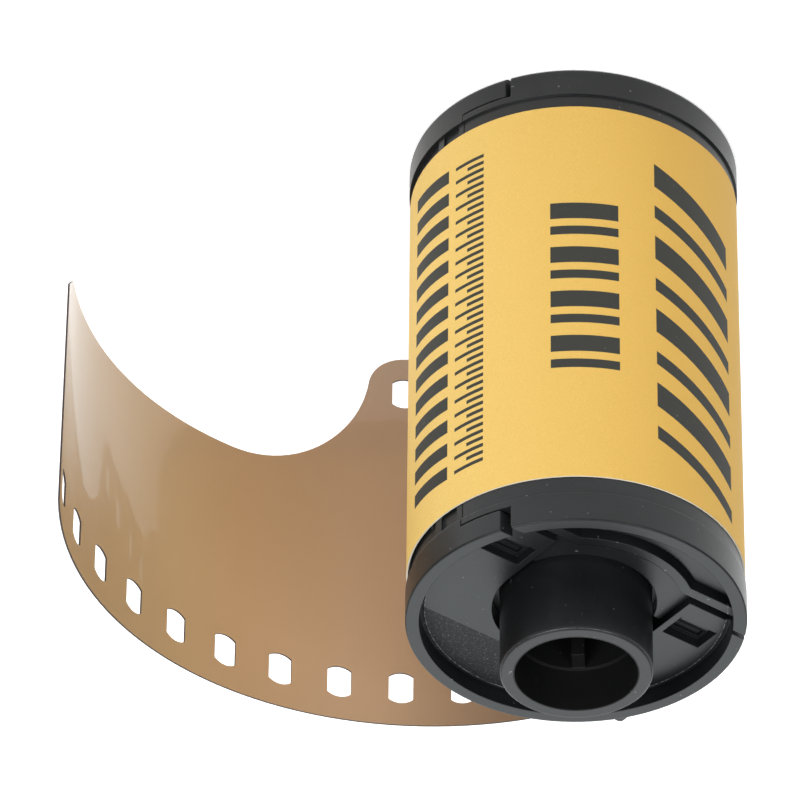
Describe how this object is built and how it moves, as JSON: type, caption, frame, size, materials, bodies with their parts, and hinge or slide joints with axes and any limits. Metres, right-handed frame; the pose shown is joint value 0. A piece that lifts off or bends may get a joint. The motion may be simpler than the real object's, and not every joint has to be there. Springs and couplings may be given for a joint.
{
  "type": "35mm film cartridge",
  "caption": "Plastic 35 mm film cartridge in two snapped shells, with a spool that turns in it and a perforated film leader curling out of its light-trap lips.",
  "frame": {"origin": "middle of the rim at the flat end, on the spool's axis", "axes": "+Z along the spool towards the long hub, +X towards the side the leader curls to"},
  "size_m": [0.0501, 0.0309, 0.047],
  "materials": {
    "shell_plastic": "fine spark-eroded black polystyrene, satin",
    "spool_plastic": "moulded black polystyrene, satin",
    "label_paper": "golden yellow printed label with a light satin film",
    "plush": "short black velvet pile",
    "film_base": "tan emulsion side, glossy dark brown back"
  },
  "bodies": {
    "housing": {"main_shell": "shell_plastic", "cover_shell": "shell_plastic", "label": "label_paper", "plush_strip_outer": "plush", "plush_strip_inner": "plush", "film": "film_base"},
    "spool": {"spool": "spool_plastic"}
  },
  "joints": [
    {"name": "spool_spin", "type": "hinge", "parent": "housing", "child": "spool", "pos_m": [0, 0, 0.02124], "axis": [0, 0, 1], "continuous": true}
  ]
}
